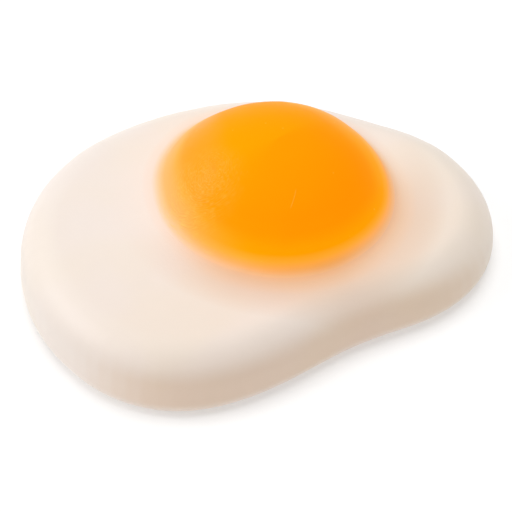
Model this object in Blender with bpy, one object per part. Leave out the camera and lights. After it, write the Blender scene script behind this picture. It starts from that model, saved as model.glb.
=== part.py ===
"""A fried egg sweet: a clear jelly yolk set in a slab of whipped foam, moulded as one piece.

Metres, +Z up. The origin is on the surface that the sweet rests on, under the middle of its
bounding box. +X runs along the sweet to its small end, and its waist is on the -Y side.
"""

import math

import bmesh
import bpy
from mathutils import Matrix, Vector

# The white seen from above: round lobes that melt into one another, as centre x, centre y, radius.
FRONT_CORNER = (-0.0091, -0.0059, 0.0067)
BIG_END = (-0.0055, 0.0021, 0.0151)
BACK = (0.0024, 0.0057, 0.0129)
SMALL_END = (0.0117, 0.0011, 0.0104)
LOBES = (FRONT_CORNER, BIG_END, BACK, SMALL_END)
LOBE_BLEND = 0.0028  # how softly one lobe runs into the next
INSIDE = Vector((0.001, 0.002))  # a point in the middle of the lobes, which every edge is seen from
REACH = 0.060  # further from that point than any edge

# The white seen from the side.
WHITE_HEIGHT = 0.0061
TOP_FALL = 0.03  # drop of the top for each metre towards the small end
FOOT_RADIUS = 0.0016  # round edge of the underside
SHOULDER_RADIUS = 0.0032  # round edge of the top
DRAFT = 0.0003  # how far the side leans in from foot to shoulder, to leave the mould

# The yolk: a low dome, and below it a shallow seat sunk in the white.
YOLK_CENTRE = Vector((0.0032, 0.0045))
YOLK_RADII = (0.0104, 0.0109)
YOLK_TURN = math.radians(8)
DOME_HEIGHT = 0.0065
DOME_FULLNESS = 0.15  # 0 is a cap of a ball, 1 is half an ellipsoid
SEAT_DEPTH = 0.0013
GAP = 0.0003  # between the yolk and the white

# How finely the round shapes are cut into flat faces.
OUTLINE_POINTS = 96
FOOT_STEPS = 4
SHOULDER_STEPS = 8
YOLK_SEGMENTS = 64
DOME_STEPS = 12
SEAT_STEPS = 6

QUARTER_TURN = math.pi / 2
SAME_POINT = 1e-7  # points closer than this count as one

WHITE_COLOUR = (0.93, 0.80, 0.68, 1)
WHITE_ROUGHNESS = 0.45
YOLK_COLOUR = (0.98, 0.35, 0.005, 1)
YOLK_ROUGHNESS = 0.25


def clear_scene():
    for thing in list(bpy.data.objects):
        bpy.data.objects.remove(thing, do_unlink=True)


def food_material(name, colour, roughness):
    material = bpy.data.materials.new(name)
    material.use_nodes = True
    shader = material.node_tree.nodes["Principled BSDF"]
    shader.inputs["Base Color"].default_value = colour
    shader.inputs["Roughness"].default_value = roughness
    shader.inputs["Metallic"].default_value = 0
    return material


def outside_lobes(point):
    """Distance from the lobes' blended edge: below zero inside the white."""
    distances = [math.hypot(point.x - x, point.y - y) - radius for x, y, radius in LOBES]
    nearest = min(distances)
    overlap = sum(math.exp((nearest - distance) / LOBE_BLEND) for distance in distances)
    return nearest - LOBE_BLEND * math.log(overlap)


def edge_towards(angle):
    """The point of the outline that is seen from INSIDE in this direction, found by halving."""
    direction = Vector((math.cos(angle), math.sin(angle)))
    near, far = 0.0, REACH
    while far - near > SAME_POINT:
        middle = (near + far) / 2
        if outside_lobes(INSIDE + direction * middle) < 0:
            near = middle
        else:
            far = middle
    return INSIDE + direction * near


def outline():
    """The outline's points, and the direction straight out of the white at each."""
    turns = [2 * math.pi * step / OUTLINE_POINTS for step in range(OUTLINE_POINTS)]
    points = [edge_towards(turn) for turn in turns]
    normals = []
    for here in range(OUTLINE_POINTS):
        along = points[(here + 1) % OUTLINE_POINTS] - points[here - 1]
        normals.append(Vector((along.y, -along.x)).normalized())
    return points, normals


def middle_of(points):
    xs = [point.x for point in points]
    ys = [point.y for point in points]
    return Vector((min(xs) + max(xs), min(ys) + max(ys))) / 2


def top_height(point):
    return WHITE_HEIGHT - TOP_FALL * point.x


def edge_profile(top):
    """The white's side where its top is this high: pairs of inset and height, from foot to top."""
    profile = []
    for step in range(FOOT_STEPS + 1):
        angle = QUARTER_TURN * step / FOOT_STEPS
        profile.append((FOOT_RADIUS * (1 - math.sin(angle)), FOOT_RADIUS * (1 - math.cos(angle))))
    radius = SHOULDER_RADIUS * top / WHITE_HEIGHT
    for step in range(SHOULDER_STEPS + 1):
        angle = QUARTER_TURN * step / SHOULDER_STEPS
        profile.append((DRAFT + radius * (1 - math.cos(angle)), top - radius * (1 - math.sin(angle))))
    return profile


def finished_object(name, bm, material):
    bmesh.ops.recalc_face_normals(bm, faces=bm.faces)
    mesh = bpy.data.meshes.new(name)
    bm.to_mesh(mesh)
    bm.free()
    mesh.shade_smooth()
    thing = bpy.data.objects.new(name, mesh)
    if material:
        mesh.materials.append(material)
    bpy.context.scene.collection.objects.link(thing)
    return thing


def make_white(points, normals, origin):
    """A slab: columns of points up its side all round, with a flat face below and above."""
    bm = bmesh.new()
    columns = []
    for point, normal in zip(points, normals):
        column = []
        for inset, height in edge_profile(top_height(point)):
            place = point - normal * inset
            column.append(bm.verts.new((place.x - origin.x, place.y - origin.y, height)))
        columns.append(column)
    for left, right in zip(columns, columns[1:] + columns[:1]):
        for level in range(len(left) - 1):
            bm.faces.new((left[level], right[level], right[level + 1], left[level + 1]))
    bm.faces.new([column[0] for column in columns])
    bm.faces.new([column[-1] for column in columns])
    return finished_object("white", bm, food_material("foam", WHITE_COLOUR, WHITE_ROUGHNESS))


def dome_height_at(share):
    """Height of the dome above its rim, at this share of the way from its middle to the rim."""
    radius = sum(YOLK_RADII) / 2
    ball = (radius**2 + DOME_HEIGHT**2) / (2 * DOME_HEIGHT)
    cap = math.sqrt(ball**2 - (radius * share) ** 2) - (ball - DOME_HEIGHT)
    ellipsoid = DOME_HEIGHT * math.sqrt(1 - share**2)
    return cap * (1 - DOME_FULLNESS) + ellipsoid * DOME_FULLNESS


def yolk_profile():
    """Half of the yolk cut through its middle, one unit in radius: top of the dome to the seat."""
    profile = []
    for step in range(DOME_STEPS):
        share = math.sin(QUARTER_TURN * step / DOME_STEPS)
        profile.append(Vector((share, 0, dome_height_at(share))))
    for step in range(SEAT_STEPS + 1):
        angle = QUARTER_TURN * step / SEAT_STEPS
        profile.append(Vector((math.cos(angle), 0, -SEAT_DEPTH * math.sin(angle))))
    profile[-1].x = 0
    return profile


def make_yolk(name, origin, material):
    """The half profile turned round, made oval, and laid on the sloping top of the white."""
    bm = bmesh.new()
    corners = [bm.verts.new(point) for point in yolk_profile()]
    edges = [bm.edges.new(pair) for pair in zip(corners, corners[1:])]
    bmesh.ops.spin(
        bm,
        geom=corners + edges,
        cent=(0, 0, 0),
        axis=(0, 0, 1),
        angle=2 * math.pi,
        steps=YOLK_SEGMENTS,
        use_merge=True,
    )
    bmesh.ops.remove_doubles(bm, verts=bm.verts, dist=SAME_POINT)
    place = YOLK_CENTRE - origin
    bm.transform(
        Matrix.Translation((place.x, place.y, top_height(YOLK_CENTRE)))
        @ Matrix.Rotation(math.atan(TOP_FALL), 4, "Y")
        @ Matrix.Rotation(YOLK_TURN, 4, "Z")
        @ Matrix.Diagonal((*YOLK_RADII, 1, 1))
    )
    return finished_object(name, bm, material)


def sink_seat(white, origin):
    """Cuts the yolk's seat out of the white: the yolk's own shape, grown by the gap."""
    cutter = make_yolk("seat_cutter", origin, None)
    grow = cutter.modifiers.new("Grow", "DISPLACE")
    grow.mid_level = 0
    grow.strength = GAP
    cutter.hide_render = True
    cutter.display_type = "WIRE"
    seat = white.modifiers.new("Seat", "BOOLEAN")
    seat.operation = "DIFFERENCE"
    seat.solver = "EXACT"
    seat.object = cutter


def main():
    clear_scene()
    points, normals = outline()
    origin = middle_of(points)
    white = make_white(points, normals, origin)
    make_yolk("yolk", origin, food_material("jelly", YOLK_COLOUR, YOLK_ROUGHNESS))
    sink_seat(white, origin)


main()
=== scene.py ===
# %% [markdown]
# # A fried egg sweet
#
# This lesson dresses a small sweet: a slab of whipped foam for the white of the egg and a dome of
# orange jelly for the yolk. In the factory the jelly is poured into a starch mould first and the
# foam over it, so both share one smooth skin, and the jelly fades into the foam where it thins out.
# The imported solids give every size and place. Two new pieces are modelled to fit them.

# %% Open the frame
import math

import bpy
from mathutils import Euler, Matrix, Vector


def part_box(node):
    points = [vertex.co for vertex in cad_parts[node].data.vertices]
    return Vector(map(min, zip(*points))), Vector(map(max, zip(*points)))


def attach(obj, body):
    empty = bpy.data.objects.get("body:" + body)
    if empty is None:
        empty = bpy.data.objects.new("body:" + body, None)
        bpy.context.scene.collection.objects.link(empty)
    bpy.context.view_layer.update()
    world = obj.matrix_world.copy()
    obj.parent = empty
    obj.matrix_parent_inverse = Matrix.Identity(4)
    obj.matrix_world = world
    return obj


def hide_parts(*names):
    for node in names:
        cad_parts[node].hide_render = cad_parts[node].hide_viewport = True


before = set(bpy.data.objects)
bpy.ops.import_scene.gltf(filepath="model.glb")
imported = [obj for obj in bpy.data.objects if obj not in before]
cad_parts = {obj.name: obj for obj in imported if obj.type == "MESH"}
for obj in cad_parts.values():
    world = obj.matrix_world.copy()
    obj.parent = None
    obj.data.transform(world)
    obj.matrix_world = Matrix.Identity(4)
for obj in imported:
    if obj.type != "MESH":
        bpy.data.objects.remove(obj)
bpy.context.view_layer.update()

# %% [markdown]
# ## Measure the solids
#
# Sizes are read from the solids and never typed again, so the looks follow the frame if it changes.
# A ray dropped on the foam finds how high its top is. Two of them give the slope of the top, which
# falls towards the small end, and that slope tilts the yolk too.

# %% Measure the foam and the jelly
MM = 0.001
RAY_START = 50 * MM
BIG_END_INSET = 0.15  # how far in from each end the rays drop, as a share of the length
SMALL_END_INSET = 0.1
YOLK_TURN = math.radians(8)


def height_of_foam(x, y):
    """Where a ray dropped straight down meets the foam solid."""
    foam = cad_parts["white"]
    _, place, _, _ = foam.ray_cast(Vector((x, y, RAY_START)), Vector((0, 0, -1)))
    return place.z


white_low, white_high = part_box("white")
yolk_low, yolk_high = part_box("yolk")
length, width, _ = white_high - white_low
big_end_x = white_low.x + BIG_END_INSET * length
small_end_x = white_high.x - SMALL_END_INSET * length
fall = (height_of_foam(big_end_x, 0) - height_of_foam(small_end_x, 0)) / (small_end_x - big_end_x)
top_at_origin = height_of_foam(big_end_x, 0) + fall * big_end_x
tilt = math.atan(fall)
yolk_turn = Euler((0, tilt, YOLK_TURN))

yolk_centre = (yolk_low + yolk_high) / 2
yolk_radii = (yolk_high - yolk_low) / 2
yolk_centre.z = top_at_origin - fall * yolk_centre.x
dome_height = yolk_high.z - yolk_centre.z
print(f"top {top_at_origin / MM:.2f} mm over the origin, falling {math.degrees(tilt):.2f} degrees")
print(f"yolk {2 * yolk_radii.x / MM:.1f} x {2 * yolk_radii.y / MM:.1f} mm, dome {dome_height / MM:.2f} mm")

# %% [markdown]
# ## Camera
#
# The sweet is seen from above at 45 degrees through a long lens, as goods are shown in a catalogue,
# so that near and far ends keep their true proportions.

# %% Place the camera
CAMERA_AZIMUTH = math.radians(-16)
CAMERA_ELEVATION = math.radians(45)
CAMERA_DISTANCE = 250 * MM
LENS = 197.5
CAMERA_AIM = Vector((-0.73, -2.41, 3.0)) * MM

camera_right = Vector((math.cos(CAMERA_AZIMUTH), math.sin(CAMERA_AZIMUTH), 0))
camera_ahead = Vector((-math.sin(CAMERA_AZIMUTH), math.cos(CAMERA_AZIMUTH), 0))
camera_back = Vector((
    math.sin(CAMERA_AZIMUTH) * math.cos(CAMERA_ELEVATION),
    -math.cos(CAMERA_AZIMUTH) * math.cos(CAMERA_ELEVATION),
    math.sin(CAMERA_ELEVATION),
))
bpy.ops.object.camera_add(location=CAMERA_AIM + camera_back * CAMERA_DISTANCE)
camera = bpy.context.active_object
camera.name = "studio_camera"
camera.rotation_mode = "QUATERNION"
camera.rotation_quaternion = (-camera_back).to_track_quat("-Z", "Y")
camera.data.lens = LENS
camera.data.sensor_width = 36
camera.data.clip_start = 10 * MM
camera.data.dof.use_dof = False
bpy.context.scene.camera = camera

# %% [markdown]
# ## Shader maths
#
# Materials here are sums and products of patterns. Wrapping a socket in a small class lets that be
# written as plain arithmetic: each + or * adds its own Math node. Any other node comes from one
# method, which sets the node up first and then fills its sockets with values or links.

# %% A socket that can be added and multiplied
FIRST_COLOUR, SECOND_COLOUR, MIXED_COLOUR = 6, 7, 2  # socket numbers of a Mix node for colours


class Signal:
    """An output of a material's node tree."""

    def __init__(self, tree, socket=None):
        self.tree = tree
        self.socket = socket

    def node(self, kind, settings=None, sockets=None, out=0):
        """Adds a node of this type and returns one of its outputs."""
        made = self.tree.nodes.new(kind)
        for name, value in (settings or {}).items():
            if name == "stops":
                self.set_stops(made.color_ramp, value)
            else:
                setattr(made, name, value)
        for name, value in (sockets or {}).items():
            if isinstance(value, Signal):
                self.tree.links.new(value.socket, made.inputs[name])
            else:
                made.inputs[name].default_value = value
        return Signal(self.tree, made.outputs[out])

    @staticmethod
    def set_stops(ramp, stops):
        while len(ramp.elements) < len(stops):
            ramp.elements.new(1)
        for element, (position, colour) in zip(ramp.elements, stops):
            element.position = position
            element.color = (*colour, 1)

    def maths(self, operation, *terms):
        return self.node("ShaderNodeMath", {"operation": operation}, dict(enumerate((self, *terms))))

    def __add__(self, other):
        return self.maths("ADD", other)

    __radd__ = __add__

    def __sub__(self, other):
        return self.maths("SUBTRACT", other)

    def __mul__(self, other):
        return self.maths("MULTIPLY", other)

    def __truediv__(self, other):
        return self.maths("DIVIDE", other)

    def vector(self, operation, other=None, out=0):
        sockets = {0: self} if other is None else {0: self, 1: other}
        return self.node("ShaderNodeVectorMath", {"operation": operation}, sockets, out)

    def smooth_step(self, low, high, start=0.0, end=1.0):
        """start below low, end above high, with a soft turn in between."""
        return self.node(
            "ShaderNodeMapRange",
            {"interpolation_type": "SMOOTHSTEP"},
            {"Value": self, "From Min": low, "From Max": high, "To Min": start, "To Max": end},
        )

    def mix_colour(self, first, second):
        """This signal as the share of the second colour in a mix with the first."""
        made = self.tree.nodes.new("ShaderNodeMix")
        made.data_type = "RGBA"
        for number, value in ((FIRST_COLOUR, first), (SECOND_COLOUR, second)):
            socket = made.inputs[number]
            if isinstance(value, Signal):
                self.tree.links.new(value.socket, socket)
            else:
                socket.default_value = (*value, 1)
        self.tree.links.new(self.socket, made.inputs[0])
        return Signal(self.tree, made.outputs[MIXED_COLOUR])


def new_material(name):
    """A material with its Principled shader, and the place of each point in metres."""
    material = bpy.data.materials.new(name)
    material.use_nodes = True
    shader = material.node_tree.nodes["Principled BSDF"]
    place = Signal(material.node_tree).node("ShaderNodeTexCoord", out="Object")
    return material, shader, place


def linear(red, green, blue):
    """A colour picked on screen, from 0 to 255, as the shader's linear values."""
    return tuple(
        level / 255 / 12.92 if level <= 10 else ((level / 255 + 0.055) / 1.055) ** 2.4
        for level in (red, green, blue)
    )


# %% [markdown]
# ## Model the foam blank
#
# The white is flat below, round at its foot, and rounder at its shoulder, like all that is cast in
# starch. A curve could be drawn for its uneven outline, but the solid has that outline already, so
# a slice is taken from it just above its foot. Raising the slice gives the wall, which leans in a
# little to leave the mould. The slice is raised too far, and a cut along the slope makes the top.

# %% Small helpers for working by hand
def deselect_all():
    bpy.ops.object.select_all(action="DESELECT")


def apply_modifier(piece, kind, **settings):
    """Adds a modifier, sets it up and applies it."""
    modifier = piece.modifiers.new(kind.title(), kind)
    for name, value in settings.items():
        setattr(modifier, name, value)
    bpy.context.view_layer.objects.active = piece
    bpy.ops.object.modifier_apply(modifier=modifier.name)


def select_elements(piece, elements, keep):
    """In object mode, selects only the vertices, edges or polygons that keep() says yes to."""
    for group in (piece.data.vertices, piece.data.edges, piece.data.polygons):
        group.foreach_set("select", [False] * len(group))
    for element in getattr(piece.data, elements):
        element.select = keep(element)


def edit(piece, mode):
    """Enters edit mode on this piece alone, in vertex, edge or face mode."""
    deselect_all()
    piece.select_set(True)
    bpy.context.view_layer.objects.active = piece
    bpy.ops.object.mode_set(mode="EDIT")
    bpy.ops.mesh.select_mode(type=mode)


def done():
    bpy.ops.object.mode_set(mode="OBJECT")


# %% Slice the solid, raise the slice and cut the slope
FOOT_RADIUS = 1.6 * MM
SHOULDER_RADIUS = 3.2 * MM
DRAFT = 0.3 * MM
SLICE_HEIGHT = 1.03 * FOOT_RADIUS
SAME_PLACE = 0.001 * MM
MERGE = 0.1 * MM
raised = 2 * top_at_origin
lean = 1 - 2 * DRAFT / width * (raised / top_at_origin)

deselect_all()
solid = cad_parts["white"]
white = bpy.data.objects.new("egg_white", solid.data.copy())
bpy.context.collection.objects.link(white)
edit(white, "VERT")
bpy.ops.mesh.select_all(action="SELECT")
bpy.ops.mesh.remove_doubles(threshold=SAME_PLACE)
bpy.ops.mesh.select_all(action="SELECT")
bpy.ops.mesh.bisect(
    plane_co=(0, 0, SLICE_HEIGHT),
    plane_no=(0, 0, 1),
    use_fill=True,
    clear_inner=True,
    clear_outer=True,
)
bpy.ops.mesh.select_all(action="SELECT")
bpy.ops.mesh.remove_doubles(threshold=MERGE)
bpy.ops.mesh.select_all(action="SELECT")
bpy.ops.transform.translate(value=(0, 0, -SLICE_HEIGHT))
bpy.ops.mesh.extrude_region_move(TRANSFORM_OT_translate={"value": (0, 0, raised)})
bpy.ops.transform.resize(value=(lean, lean, 1), center_override=(0, 0, 0))
bpy.ops.mesh.select_all(action="SELECT")
bpy.ops.mesh.bisect(
    plane_co=(0, 0, top_at_origin), plane_no=(fall, 0, 1), use_fill=True, clear_outer=True
)
bpy.ops.mesh.select_all(action="SELECT")
bpy.ops.mesh.normals_make_consistent(inside=False)
done()
print("blank:", len(white.data.vertices), "points, box", [round(s / MM, 2) for s in white.dimensions])

# %% [markdown]
# ## Ease the outline
#
# No poured sweet comes out just like the next one. Here the back edge is a little flatter than the
# solid's, and the corner of the small end a little fuller. Proportional editing moves the wall there
# as a thumb would: most under the thumb, and less and less round it.

# %% Ease the back and the corner
GRIP = 1.5 * MM  # what is this close to a place moves all the way
BACK_MOVE = (0.05 * MM, -0.3 * MM)
BACK_REACH = 14 * MM
CORNER_MOVE = (0.2 * MM, 0.16 * MM)
CORNER_REACH = 4 * MM
CORNER_SIDE = Vector((1, 0.9))


def ease(piece, place, move, reach):
    """Moves the wall at this place, and what is within reach of it less and less."""
    select_elements(piece, "vertices", lambda vertex: (vertex.co.xy - place).length < GRIP)
    edit(piece, "VERT")
    bpy.ops.transform.translate(
        value=(*move, 0), use_proportional_edit=True, proportional_size=reach
    )
    done()


back = max(white.data.vertices, key=lambda vertex: vertex.co.y).co.xy.copy()
ease(white, back, BACK_MOVE, BACK_REACH)
corner = max(white.data.vertices, key=lambda vertex: vertex.co.xy.dot(CORNER_SIDE)).co.xy.copy()
ease(white, corner, CORNER_MOVE, CORNER_REACH)
print("eased at", [round(side / MM, 1) for side in (*back, *corner)])

# %% [markdown]
# ## Round the shoulder and the foot
#
# Starch takes no sharp corner, so both rims of the blank are round. A bevel along the loop of edges
# round a level face rounds a whole rim at once, whatever the outline does.

# %% Bevel both rims
LEVEL = 0.9  # a face counts as level when its normal points up or down by more than this
ROUND_RIMS = ((1, SHOULDER_RADIUS, 12), (-1, FOOT_RADIUS, 6))  # up or down, radius, steps

for side, radius, segments in ROUND_RIMS:
    select_elements(white, "polygons", lambda face: face.normal.z * side > LEVEL)
    edit(white, "FACE")
    bpy.ops.mesh.region_to_loop()
    bpy.ops.mesh.bevel(offset=radius, segments=segments, affect="EDGES", clamp_overlap=False)
    done()
print("rounded blank:", len(white.data.polygons), "faces")

# %% [markdown]
# ## Model the jelly dome
#
# The dome is a cap of a slightly flattened ball, so it starts as a ball. It is stretched to the
# yolk's oval, turned and tilted with the top of the foam, and cut off a little below that top.

# %% Cut the dome from a ball
BALL_SPREAD = 1.07  # half width of the ball, in yolk radii
DOME_SINK = 2 * MM  # how far the dome reaches into the foam
DOME_SEGMENTS = 128
DOME_RINGS = 96
sunk_share = math.sqrt(1 - 1 / BALL_SPREAD**2)
ball_height = dome_height / (1 - sunk_share)
ball_centre = yolk_centre - Vector((0, 0, ball_height * sunk_share))

deselect_all()
bpy.ops.mesh.primitive_uv_sphere_add(segments=DOME_SEGMENTS, ring_count=DOME_RINGS, radius=1)
dome = bpy.context.active_object
dome.name = "dome"
dome.scale = (yolk_radii.x * BALL_SPREAD, yolk_radii.y * BALL_SPREAD, ball_height)
dome.rotation_euler = yolk_turn
dome.location = ball_centre
bpy.ops.object.transform_apply(location=True, rotation=True, scale=True)
edit(dome, "FACE")
bpy.ops.mesh.select_all(action="SELECT")
bpy.ops.mesh.bisect(
    plane_co=yolk_centre - Vector((0, 0, DOME_SINK)),
    plane_no=(-fall, 0, -1),
    use_fill=True,
    clear_outer=True,
)
done()
print(f"ball {2 * ball_height / MM:.1f} mm high, middle {ball_centre.z / MM:.1f} mm above the ground")

# %% [markdown]
# ## One skin over both
#
# Jelly and foam leave the mould with one skin, and a soft hollow runs where the dome meets the
# top. A bevel would break up where the two surfaces meet at a shallow angle. Joining the two and
# remeshing them with small voxels fuses them, as clay is pressed together. Smoothing only the crease
# then gives the hollow, in wide to narrow bands, and once more where the jelly thins out most.

# %% Fuse the dome and the blank
VOXEL = 0.2 * MM

deselect_all()
dome.select_set(True)
white.select_set(True)
bpy.context.view_layer.objects.active = white
bpy.ops.object.join()
apply_modifier(white, "REMESH", mode="VOXEL", voxel_size=VOXEL)
print("fused skin:", len(white.data.polygons), "faces")

# %% Smooth the crease between them
into_yolk = Matrix.LocRotScale(yolk_centre, yolk_turn, None).inverted()
mean_radius = (yolk_radii.x + yolk_radii.y) / 2
SKIN_PASSES = 4
CREASE_PASSES = ((2.4 * MM, 6), (1.8 * MM, 14), (1.2 * MM, 24))  # half width of the band, passes
CREASE_MIDDLE = 0.2 * MM  # how far outside the rim the crease runs
SOFT_SIDE = Vector((-1, -0.1))  # where the jelly runs out most softly into the foam
SOFT_COSINE = 0.6  # of the angle to that side, within which a place belongs to it
SOFT_BAND, SOFT_PASSES = 2.2 * MM, 20


def beyond_rim(place):
    """How far this place is outside the yolk's rim, seen along the yolk's axis."""
    local = into_yolk @ place
    return (math.hypot(local.x / yolk_radii.x, local.y / yolk_radii.y) - 1) * mean_radius


def near_crease(vertex, reach):
    above_bottom = vertex.co.z > top_at_origin / 2
    return above_bottom and abs(beyond_rim(vertex.co) - CREASE_MIDDLE) < reach


def on_soft_side(vertex):
    return (into_yolk @ vertex.co).xy.normalized().dot(SOFT_SIDE) > SOFT_COSINE


def smooth(piece, passes, keep):
    """Evens out the vertices that keep() says yes to."""
    select_elements(piece, "vertices", keep)
    edit(piece, "VERT")
    bpy.ops.mesh.vertices_smooth(factor=0.5, repeat=passes)
    done()


smooth(white, SKIN_PASSES, lambda vertex: True)
for reach, passes in CREASE_PASSES:
    smooth(white, passes, lambda vertex: near_crease(vertex, reach))
smooth(white, SOFT_PASSES, lambda vertex: near_crease(vertex, SOFT_BAND) and on_soft_side(vertex))
print("crease smoothed", sum(passes for _, passes in CREASE_PASSES), "times")

# %% [markdown]
# ## Let the jelly run out
#
# The jelly isn't poured quite evenly: on one side of the back it ran out a little further. The skin
# is moved there with proportional editing again. This time it follows connected faces only, so that
# the wall of the foam stays where it is.

# %% Move the rim on one side of the back
SPREAD_SIDE = Vector((-0.62, 0.78, 0))  # where the jelly ran furthest over the foam
SPREAD = 0.35 * MM
SPREAD_REACH = 5 * MM
SPREAD_HEIGHT = 0.5 * MM

rim_there = Vector((SPREAD_SIDE.x * yolk_radii.x, SPREAD_SIDE.y * yolk_radii.y, SPREAD_HEIGHT))
rim_there = into_yolk.inverted() @ rim_there
select_elements(white, "vertices", lambda vertex: (vertex.co - rim_there).length < GRIP)
edit(white, "VERT")
bpy.ops.transform.translate(
    value=SPREAD_SIDE * SPREAD,
    use_proportional_edit=True,
    use_proportional_connected=True,
    proportional_size=SPREAD_REACH,
)
done()
print("rim moved at", [round(side / MM, 1) for side in rim_there])

# %% [markdown]
# ## An uneven skin
#
# Starch gives no true surface, so the skin waves by a tenth of a millimetre. A Displace modifier with
# a cloud texture does that. The underside was the open side of the mould and set level, so it is
# pressed flat again.

# %% Make the skin a little uneven
WAVE_LENGTH = 6 * MM
WAVE_HEIGHT = 0.14 * MM
FOOT_BAND = 0.12 * MM  # what is lower than this belongs to the flat underside

waves = bpy.data.textures.new("waves", "CLOUDS")
waves.noise_scale = WAVE_LENGTH
apply_modifier(white, "DISPLACE", texture=waves, strength=WAVE_HEIGHT, mid_level=0.5)
select_elements(white, "vertices", lambda vertex: vertex.co.z < FOOT_BAND)
edit(white, "VERT")
bpy.ops.transform.resize(value=(1, 1, 0), center_override=(0, 0, 0))
done()
print("lowest point:", min(vertex.co.z for vertex in white.data.vertices) / MM, "mm")

# %% [markdown]
# ## Part the yolk from the white
#
# The two are separate pieces in the library, so the skin is cut along the rim. The cutter is an
# oval plug with a round foot, the shape of the jelly inside the foam. What lies inside the plug is
# the yolk, and what is left is the white with the yolk's seat in it. The skin is made of triangles
# first, because a four-cornered face that isn't flat leaves slivers along the cut.

# %% Make the plug
SEAT_DEPTH = 1.3 * MM
SEAM = 0.25 * MM  # how far outside the rim the cut runs
PLUG_HEIGHT = 12 * MM
PLUG_POINTS = 128
PLUG_FOOT_RADIUS = 0.8 * SEAT_DEPTH

deselect_all()
bpy.ops.mesh.primitive_cylinder_add(vertices=PLUG_POINTS, radius=1, depth=1)
plug = bpy.context.active_object
plug.name = "plug"
plug.scale = (yolk_radii.x + SEAM, yolk_radii.y + SEAM, PLUG_HEIGHT + SEAT_DEPTH)
plug.rotation_euler = yolk_turn
plug.location = yolk_centre + Vector((0, 0, (PLUG_HEIGHT - SEAT_DEPTH) / 2))
bpy.ops.object.transform_apply(location=True, rotation=True, scale=True)
select_elements(plug, "polygons", lambda face: face.normal.z < -LEVEL)
edit(plug, "FACE")
bpy.ops.mesh.region_to_loop()
bpy.ops.mesh.bevel(offset=PLUG_FOOT_RADIUS, segments=5, affect="EDGES", clamp_overlap=False)
done()
print("plug box, mm:", [round(side / MM, 1) for side in plug.dimensions])

# %% Cut along the rim
SOFT_EDGE = math.radians(35)  # edges sharper than this stay sharp

apply_modifier(white, "TRIANGULATE")
deselect_all()
white.select_set(True)
bpy.ops.object.duplicate()
yolk = bpy.context.active_object
yolk.name = "egg_yolk"
apply_modifier(yolk, "BOOLEAN", operation="INTERSECT", solver="EXACT", object=plug)
apply_modifier(white, "BOOLEAN", operation="DIFFERENCE", solver="EXACT", object=plug)
bpy.data.objects.remove(plug)
for piece in (white, yolk):
    deselect_all()
    piece.select_set(True)
    bpy.context.view_layer.objects.active = piece
    bpy.ops.object.shade_smooth_by_angle(angle=SOFT_EDGE)
    print(piece.name, len(piece.data.polygons), "faces")

# %% [markdown]
# ## Where a point lies on the yolk
#
# Both finishes change with the distance from the yolk's rim. A Mapping node of the Texture kind
# undoes the yolk's place, turn and size, so the rim becomes a circle one unit in radius, and the
# length of what is left says how far out a point is. The side counts as well: light enters the jelly
# on one side and leaves it on another, the waist side. So a second measure says how near a point's
# direction is to a given side.

# %% Measure from the rim inside a material
def yolk_place(place):
    """The point in the yolk's own frame, as a share of its radii, flattened."""
    local = place.node(
        "ShaderNodeMapping",
        {"vector_type": "TEXTURE"},
        {"Vector": place, "Location": yolk_centre, "Rotation": yolk_turn, "Scale": (*yolk_radii.xy, 1)},
    )
    return local.vector("MULTIPLY", (1, 1, 0))


def past_oval(place):
    """Millimetres outside the yolk's oval: below zero inside it."""
    return (yolk_place(place).vector("LENGTH", out=1) - 1) * (mean_radius / MM)


def share_of_side(place, side, low, high):
    """1 on this side of the yolk, 0 on the others; low and high are cosines of the angle to it."""
    outward = yolk_place(place).vector("NORMALIZE")
    return outward.vector("DOT_PRODUCT", side, out=1).smooth_step(low, high)


# %% Where the jelly's pale edge is wide, and where light comes out
# Each side is a direction, and the cosines of the angle to it between which the side fades in.
WIDE_SIDE = ((0.9, 0.43, 0), 0.35, 0.95)  # where the pale edge of the jelly is widest
BAND_SIDE = ((0.85, -0.5, 0), 0.5, 0.95)  # where the pale edge of the jelly is clearest
# This side gets the deeper, painted glow on the jelly and the dome's painted shadow on the foam.
GLOW_AND_SHADE_SIDE = (Vector((0.1, -1, 0)).normalized(), -0.25, 0.75)  # where light leaves the jelly
HOLLOW_SIDE = ((0.85, -0.52, 0), 0.5, 1.0)  # where the dome keeps the light off the foam
SPREAD_FADE = (0.8, 1.0)

WIDE_SHARE = 0.57
SPREAD_SEEN = 0.5  # how much of the spread is thick enough to look orange
BAND_FADE = (-0.5, 0.1)  # here and below: millimetres from the rim between which a thing fades
HOLLOW_RISE = (-0.8, 0.1)
HOLLOW_FALL = (0.4, 4.0)


def rim_distance(place):
    """Millimetres from the jelly's edge, as its colours see it: below zero on the jelly."""
    from_rim = past_oval(place)
    inside = from_rim.maths("MINIMUM", 0)
    stretch = share_of_side(place, *WIDE_SIDE) * WIDE_SHARE
    spread = share_of_side(place, SPREAD_SIDE, *SPREAD_FADE) * (SPREAD_SEEN * SPREAD / MM)
    return from_rim - inside * stretch - spread


def glow_and_shade_share(place):
    """1 on the side away from the light, where light comes out of the jelly and the foam beside it is
    given painted shade, 0 where the light enters.
    """
    band = rim_distance(place).smooth_step(*BAND_FADE, 1.0, 0.0) * share_of_side(place, *BAND_SIDE)
    return share_of_side(place, *GLOW_AND_SHADE_SIDE).maths("MAXIMUM", band)


def hollow_fill(place):
    """How much light from inside the foam reaches the shaded hollow round the dome."""
    from_rim = past_oval(place)
    in_hollow = from_rim.smooth_step(*HOLLOW_RISE) * from_rim.smooth_step(*HOLLOW_FALL, 1.0, 0.0)
    return in_hollow * share_of_side(place, *HOLLOW_SIDE)
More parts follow.
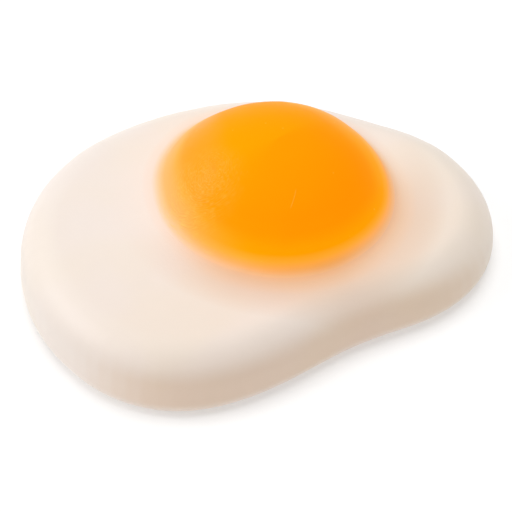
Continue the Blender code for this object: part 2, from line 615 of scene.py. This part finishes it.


# %% [markdown]
# ## Colours across the rim
#
# Where the jelly thins out, the foam under it shines through, so orange turns to peach, to pink and
# to cream over two or three millimetres. Real translucency would blur every edge of a piece so small,
# and take long to render. A colour ramp over the distance from the rim gives the same change of
# There are two: one for the side that the light enters, and a deeper one where it comes out. The
# deeper one is painted light and shade: the jelly's glow from within, and on the foam beside it a
# painted orange-tinted shadow of the dome.

# %% A ramp of colours by distance
def ramp(distance, stops):
    """Colours by distance from the rim, in millimetres."""
    first, last = stops[0][0], stops[-1][0]
    share = (distance - first) / (last - first)
    placed = [((place - first) / (last - first), linear(*colour)) for place, colour in stops]
    return share.node("ShaderNodeValToRGB", {"stops": placed}, {"Fac": share})


# %% The two ramps
LIT_RIM = (  # millimetres from the rim, and the colour there
    (-3.0, (253, 161, 0)),
    (-2.1, (253, 163, 8)),
    (-1.6, (253, 175, 50)),
    (-0.5, (251, 191, 108)),
    (0.1, (249, 205, 158)),
    (0.7, (248, 225, 210)),
    (1.6, (246, 232, 222)),
    (5.0, (244, 232, 223)),
)
# Painted light and shade where light leaves the jelly: a deeper orange glow, and on the foam the dome's
# orange-tinted painted shadow.
GLOW_AND_SHADE_RIM = (
    (-3.0, (253, 149, 0)),
    (-0.95, (253, 157, 0)),
    (-0.6, (250, 170, 58)),
    (-0.2, (247, 176, 102)),
    (0.2, (242, 184, 136)),
    (0.9, (233, 192, 158)),
    (2.2, (233, 206, 186)),
    (5.0, (242, 227, 215)),
)


# Mixes the lit colours with the painted glow and shade of the side away from the light.
def rim_colour(place):
    distance = rim_distance(place)
    lit = ramp(distance, LIT_RIM)
    glowing_and_shaded = ramp(distance, GLOW_AND_SHADE_RIM)
    return glow_and_shade_share(place).mix_colour(lit, glowing_and_shaded)


# %% [markdown]
# ## Marks on the jelly
#
# Set jelly is smooth but not polished. The starch it was cast in leaves a bloom of short curved strokes
# on one side of the dome. That is the side facing the big light, where the strokes also catch it, so
# their lighter colour there is partly starch and partly painted highlight. Stretched noise gives such
# strokes. Three layers of it, each turned another way and let through in patches, are joined by two
# layers that run round a place in the bloom: there the noise is read by angle and by distance. A few
# grains of starch, one hair line and the creases at the rim are added one by one, because the eye
# finds them.

# %% Strokes of the starch mould
STROKE_WIDTH = 0.075 * MM
STROKE_LENGTH = 0.6 * MM
PATCHES_PER_MM = 0.6
PATCH_SHIFT = Vector((7, 3, 0)) * MM  # moves each layer to another part of the noise


def bent(place, bends_per_mm, distance):
    """The place, pushed about by soft noise, so that what is straight there is drawn curved."""
    push = place.node(
        "ShaderNodeTexNoise", None, {"Vector": place, "Scale": bends_per_mm / MM, "Detail": 1.0}, out=1
    )
    return place.vector("ADD", push.vector("MULTIPLY", (distance, distance, 0)))


def strokes(place, turn, seed):
    """Short strokes that all run about one way, 1 in their middle, in scattered patches."""
    pushed = bent(place, 0.5, 0.7 * MM)
    turned = pushed.node(
        "ShaderNodeMapping",
        {"vector_type": "TEXTURE"},
        {
            "Vector": pushed,
            "Location": PATCH_SHIFT * seed,
            "Rotation": (0, 0, turn),
            "Scale": (STROKE_LENGTH, STROKE_WIDTH, STROKE_LENGTH),
        },
    )
    line = turned.node("ShaderNodeTexNoise", None, {"Vector": turned, "Scale": 1.0, "Detail": 0.0})
    patch = place.node(
        "ShaderNodeTexNoise",
        {"noise_dimensions": "4D"},
        {"Vector": place, "W": seed, "Scale": PATCHES_PER_MM / MM, "Detail": 1.0},
    )
    return line.smooth_step(0.5, 0.68) * patch.smooth_step(0.4, 0.6)


# %% Strokes round one place, and the bloom with its painted highlight
BLOOM_AND_GLINT_CENTRE = (-0.76, -0.03, 0)  # in yolk radii from the middle of the yolk
BLOOM_AND_GLINT_FADE = (0.15, 0.46)  # how far from that centre it starts to fade, and ends
RING_CENTRE = (-0.55, 0.05, 0)
RING_MIDDLE = 0.3  # how far from that centre the strokes have their full length


def rings(place, seed):
    """Strokes that run round one place, as the lines of a fingerprint do."""
    off_centre = yolk_place(bent(place, 0.4, 0.9 * MM)).vector("SUBTRACT", RING_CENTRE)
    out = off_centre.vector("LENGTH", out=1) * (mean_radius / STROKE_WIDTH)
    along_x = off_centre.node("ShaderNodeSeparateXYZ", None, {0: off_centre})
    along_y = Signal(along_x.tree, along_x.socket.node.outputs[1])
    round_about = along_y.maths("ARCTAN2", along_x) * (RING_MIDDLE * mean_radius / STROKE_LENGTH)
    cell = out.node("ShaderNodeCombineXYZ", None, {"X": round_about, "Y": out, "Z": seed})
    line = cell.node("ShaderNodeTexNoise", None, {"Vector": cell, "Scale": 1.0, "Detail": 0.0})
    return line.smooth_step(0.5, 0.7)


def bloom_and_glint(place):
    """1 where the dome faced the starch most, which is also the side facing the big light, so the strokes
    there are partly painted highlight; 0 towards the other side, with a fade between.
    """
    off_centre = yolk_place(place).vector("SUBTRACT", BLOOM_AND_GLINT_CENTRE)
    return off_centre.vector("LENGTH", out=1).smooth_step(*BLOOM_AND_GLINT_FADE, 1.0, 0.0)


# %% A hair line
HAIR_CENTRE = (-0.574, -0.163, 0)  # middle of the arc that the hair line is a part of
HAIR_ARC = 0.6
HAIR_TOWARDS = (0.741, -0.671, 0)  # from that middle to the hair line's own middle
HAIR_EDGE = (0.001, 0.006)  # the hair line fades out between these distances from its arc
HAIR_ENDS = (0.990, 0.995)  # and between these cosines of the angle to its middle


def hair_line(place):
    """One thin curved scratch on the top of the dome."""
    from_centre = yolk_place(place).vector("SUBTRACT", HAIR_CENTRE)
    off_arc = (from_centre.vector("LENGTH", out=1) - HAIR_ARC).maths("ABSOLUTE")
    towards = from_centre.vector("NORMALIZE").vector("DOT_PRODUCT", HAIR_TOWARDS, out=1)
    return off_arc.smooth_step(*HAIR_EDGE, 1.0, 0.0) * towards.smooth_step(*HAIR_ENDS)


# %% Dust and creases
DUST_CELLS_PER_MM = 0.9
CREASE_SIDE = ((-0.97, -0.25, 0), 0.85, 0.98)
CREASE_RISE = (-0.9, -0.3)
CREASE_FALL = (0.4, 1.5)
CREASES_ROUND = 10  # how fine the creases are, along the rim and across it
CREASES_ACROSS = 6


def dust(place):
    """A few grains of starch, each in a cell of its own."""
    cells = place.node("ShaderNodeTexVoronoi", None, {"Vector": place, "Scale": DUST_CELLS_PER_MM / MM})
    grain = cells.smooth_step(0.04, 0.09, 1.0, 0.0)
    chosen = place.node("ShaderNodeTexNoise", None, {"Vector": place, "Scale": 0.5 / MM})
    return grain * chosen.smooth_step(0.52, 0.56)


def creases(place):
    """Fine creases along the rim, where the foam shrank as it dried."""
    from_rim = past_oval(place)
    outward = yolk_place(place).vector("NORMALIZE")
    along = outward.vector("MULTIPLY", (CREASES_ROUND, CREASES_ROUND, 0))
    deep = from_rim.node("ShaderNodeCombineXYZ", None, {"Z": from_rim * CREASES_ACROSS})
    line = place.node("ShaderNodeTexNoise", None, {"Vector": along.vector("ADD", deep), "Scale": 1.0})
    near_rim = from_rim.smooth_step(*CREASE_RISE) * from_rim.smooth_step(*CREASE_FALL, 1.0, 0.0)
    return line.smooth_step(0.52, 0.68) * near_rim * share_of_side(place, *CREASE_SIDE)


# %% [markdown]
# ## Jelly
#
# The marks lighten the colour a little and raise the surface a little; on the bloom the lighter colour is
# partly painted highlight. Clear jelly mirrors hardly anything where it is seen from above, so its own
# gloss is low. On the side facing the big light a satin sheen is painted in: a thin rough coat that is
# let through only where that light's reflection falls.

# %% Jelly colour and relief
MARK_COLOUR = linear(253, 206, 95)
BLOOM_AND_GLINT_STRENGTH = 0.17
HAIR_STRENGTH = 0.18
DUST_STRENGTH = 0.35
CREASE_STRENGTH = 0.1

jelly, jelly_shader, place = new_material("jelly")
skin = strokes(place, math.radians(60), 1) + strokes(place, math.radians(120), 2)
skin = (skin + strokes(place, math.radians(15), 3)) * 0.5
skin = (skin + rings(place, 1.0) + rings(place, 5.0)) * bloom_and_glint(place)
hair = hair_line(place)
folds = creases(place)
# The bloom strokes' lighter colour below is partly painted highlight.
marks = skin * BLOOM_AND_GLINT_STRENGTH + hair * HAIR_STRENGTH
marks = marks + dust(place) * DUST_STRENGTH + folds * CREASE_STRENGTH
colour = marks.mix_colour(rim_colour(place), MARK_COLOUR)
jelly.node_tree.links.new(colour.socket, jelly_shader.inputs["Base Color"])

orange_peel = place.node("ShaderNodeTexNoise", None, {"Vector": place, "Scale": 2.2 / MM, "Detail": 2.0})
relief = skin + orange_peel * 0.5 + hair + folds
bump = relief.node("ShaderNodeBump", None, {"Strength": 0.7, "Distance": 0.016 * MM, "Height": relief})
jelly.node_tree.links.new(bump.socket, jelly_shader.inputs["Normal"])
print("jelly:", len(jelly.node_tree.nodes), "nodes for its colour and relief")

# %% Jelly gloss and sheen
JELLY_ROUGHNESS = 0.36
SHEEN = 0.44
SHEEN_SIDE = (-0.95, 0.32, 0)
SHEEN_FADE = (0.38, 0.62)  # how far towards that side it fades in, in yolk radii
UPPER_SIDE = (-0.3, 0.95, 0)  # the sheen also needs to lie on this side of the middle
UPPER_FADE = (-0.05, 0.25)

rough = JELLY_ROUGHNESS + orange_peel * 0.08
jelly.node_tree.links.new(rough.socket, jelly_shader.inputs["Roughness"])
jelly_shader.inputs["Specular IOR Level"].default_value = 0.05
jelly_shader.inputs["IOR"].default_value = 1.3

# Painted highlight: the coat's mask keeps the sheen to where the big light's reflection falls.
sideways = yolk_place(place).vector("DOT_PRODUCT", SHEEN_SIDE, out=1).smooth_step(*SHEEN_FADE)
upwards = yolk_place(place).vector("DOT_PRODUCT", UPPER_SIDE, out=1).smooth_step(*UPPER_FADE)
sheen = sideways * upwards * SHEEN
jelly.node_tree.links.new(sheen.socket, jelly_shader.inputs["Coat Weight"])
jelly_shader.inputs["Coat Roughness"].default_value = JELLY_ROUGHNESS

# %% [markdown]
# ## Light from inside
#
# Light that entered the jelly comes out again, so it glows a little from within, most near the edge
# on the side away from the light. Some of it goes on through the foam and fills the hollow beside the
# dome, which a hard object would leave in shade. Both are a faint emission, painted by distance. The
# jelly casts no shadow of its own either, since light goes through it.

# %% Jelly glow
BODY_GLOW = (0.28, 0.03, 0)
EDGE_GLOW = (0.33, 0.1, 0)
SEAM_GLOW = (0.04, 0.03, 0.01)
LIT_GLOW = (0.06, 0.0, 0)
HOLLOW_LIGHT = (0.065, 0.085, 0.09)
DARK = (0, 0, 0)
EDGE_RISE = (-2.2, -0.7)
SEAM_RISE = (-0.7, 0.25)

distance = rim_distance(place)
glow = distance.smooth_step(*EDGE_RISE).mix_colour(BODY_GLOW, EDGE_GLOW)
glow = distance.smooth_step(*SEAM_RISE).mix_colour(glow, SEAM_GLOW)
glow = glow_and_shade_share(place).mix_colour(LIT_GLOW, glow)
glow = glow.vector("ADD", hollow_fill(place).mix_colour(DARK, HOLLOW_LIGHT))
jelly.node_tree.links.new(glow.socket, jelly_shader.inputs["Emission Color"])
jelly_shader.inputs["Emission Strength"].default_value = 1
yolk.visible_shadow = False

# %% [markdown]
# ## Foam
#
# Whipped foam is matt and very finely grained, and its colour is never quite even. The side away from
# the light looks darker and warmer than the top, because the light there has gone through more of it;
# here that is painted shade. So the rim's ramp is only the start, and three tints are laid over it: a
# yellower cloud, a painted warm shade on the far side between foot and shoulder, and a faint painted
# shade towards the small end.

# %% Foam colour
CLOUD_TINT = (1.0, 0.995, 0.95)
SHADED_SIDE_TINT = (0.95, 0.85, 0.75)
SMALL_END_SHADE = (0.99, 1.0, 0.99)
SHADED_SIDE = camera_right * 0.25 - camera_ahead * 0.97
SHADED_SIDE_FADE = (0.45, 1.0)
WALL_RISE = (0.4, 1.8)  # millimetres above the ground
WALL_FALL = (3.6, 5.6)
SMALL_END_RISE = (5.0, 16.0)  # millimetres along the sweet

foam, foam_shader, place = new_material("foam")
# The rim's ramp also lays the dome's painted shadow on the foam.
colour = rim_colour(place)
cloud = place.node("ShaderNodeTexNoise", None, {"Vector": place, "Scale": 0.13 / MM, "Detail": 1.0})
yellower = colour.vector("MULTIPLY", CLOUD_TINT)
colour = cloud.smooth_step(0.4, 0.65, 0.0, 0.6).mix_colour(colour, yellower)

# Painted shade: the side away from the key light is darkened and warmed between foot and shoulder.
facing = place.node("ShaderNodeTexCoord", out="Normal")
on_shaded_side = facing.vector("DOT_PRODUCT", SHADED_SIDE, out=1).smooth_step(*SHADED_SIDE_FADE)
height = place.vector("DOT_PRODUCT", (0, 0, 1 / MM), out=1)
on_wall = height.smooth_step(*WALL_RISE) * height.smooth_step(*WALL_FALL, 1.0, 0.3)
colour = (on_shaded_side * on_wall).mix_colour(colour, colour.vector("MULTIPLY", SHADED_SIDE_TINT))

# Painted shade: the small end is made a touch darker in red and blue.
along = place.vector("DOT_PRODUCT", (1 / MM, 0, 0), out=1)
colour = along.smooth_step(*SMALL_END_RISE).mix_colour(colour, colour.vector("MULTIPLY", SMALL_END_SHADE))
foam.node_tree.links.new(colour.socket, foam_shader.inputs["Base Color"])
print("foam:", len(foam.node_tree.nodes), "nodes for its colour")

# %% Foam grain, roughness and glow
grain = place.node("ShaderNodeTexNoise", None, {"Vector": place, "Scale": 4 / MM, "Detail": 2.0})
relief = grain + creases(place) * 1.5
bump = relief.node("ShaderNodeBump", None, {"Strength": 0.35, "Distance": 0.02 * MM, "Height": relief})
foam.node_tree.links.new(bump.socket, foam_shader.inputs["Normal"])
rough = 0.34 + grain * 0.1
foam.node_tree.links.new(rough.socket, foam_shader.inputs["Roughness"])

filled = hollow_fill(place).mix_colour(DARK, HOLLOW_LIGHT)
foam.node_tree.links.new(filled.socket, foam_shader.inputs["Emission Color"])
foam_shader.inputs["Emission Strength"].default_value = 1

# %% [markdown]
# ## Hand over to the frame
#
# Each piece rides the sweet's one body, stands in for its solid, and has its material's slot, so
# that another flavour can be dressed in other materials.

# %% Give the pieces to the frame
for piece, material, node, slot in ((white, foam, "white", "foam"), (yolk, jelly, "yolk", "jelly")):
    piece.data.materials.clear()
    piece.data.materials.append(material)
    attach(piece, "root")
    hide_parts(node)

# %% [markdown]
# ## Ground
#
# The sweet lies on white paper without a horizon. The plane is large and glows faintly, so it stays
# white right up to the sweet, and only a slight soft shadow is left at its foot.

# %% Lay the paper
FLOOR_SIZE = 1.2
FLOOR_WHITE = 0.7
FLOOR_GLOW = 0.33

deselect_all()
bpy.ops.mesh.primitive_plane_add(size=FLOOR_SIZE)
floor = bpy.context.active_object
floor.name = "studio_floor"
paper, paper_shader, place = new_material("floor_paper")
paper_shader.inputs["Base Color"].default_value = (FLOOR_WHITE, FLOOR_WHITE, FLOOR_WHITE, 1)
paper_shader.inputs["Roughness"].default_value = 1
paper_shader.inputs["Specular IOR Level"].default_value = 0
paper_shader.inputs["Emission Color"].default_value = (1, 1, 1, 1)
paper_shader.inputs["Emission Strength"].default_value = FLOOR_GLOW
floor.data.materials.append(paper)

# %% [markdown]
# ## Light
#
# A large soft light from the left gives the jelly its sheen and the foam its bright end. A second
# one overhead fills the top. It isn't mirrored in the jelly, where it would hide the marks.

# %% Set up the softboxes
def add_softbox(name, right, ahead, up, size, power):
    """A round light a metre away in this direction, given as the camera sees it."""
    direction = (camera_right * right + camera_ahead * ahead + Vector((0, 0, up))).normalized()
    bpy.ops.object.light_add(type="AREA", location=direction)
    light = bpy.context.active_object
    light.name = name
    light.rotation_mode = "QUATERNION"
    light.rotation_quaternion = direction.to_track_quat("Z", "Y")
    light.data.shape = "DISK"
    light.data.size = size
    light.data.energy = power
    light.visible_camera = False
    return light


add_softbox("key_softbox", right=-0.83, ahead=-0.04, up=0.5, size=0.85, power=2.95)
overhead = add_softbox("overhead_softbox", right=0, ahead=0.15, up=1, size=0.8, power=6.0)
overhead.visible_glossy = False
bpy.context.scene.view_settings.view_transform = "Standard"

# %% [markdown]
# ## Sky
#
# The sky fills the shadows. It is brighter where the camera looks past the paper than it is as a
# light, so the background stays white. A Light Path node tells the two apart.

# %% Light the sky
SKY_LIGHT = 0.4  # what lights the sweet
SKY_SEEN = 1.0  # what the camera sees beyond the floor

world = bpy.data.worlds.new("studio")
bpy.context.scene.world = world
world.use_nodes = True
sky = world.node_tree.nodes["Background"]
sky.inputs["Color"].default_value = (1, 1, 1, 1)
seen = Signal(world.node_tree).node("ShaderNodeLightPath")
strength = SKY_LIGHT + seen * (SKY_SEEN - SKY_LIGHT)
world.node_tree.links.new(strength.socket, sky.inputs["Strength"])
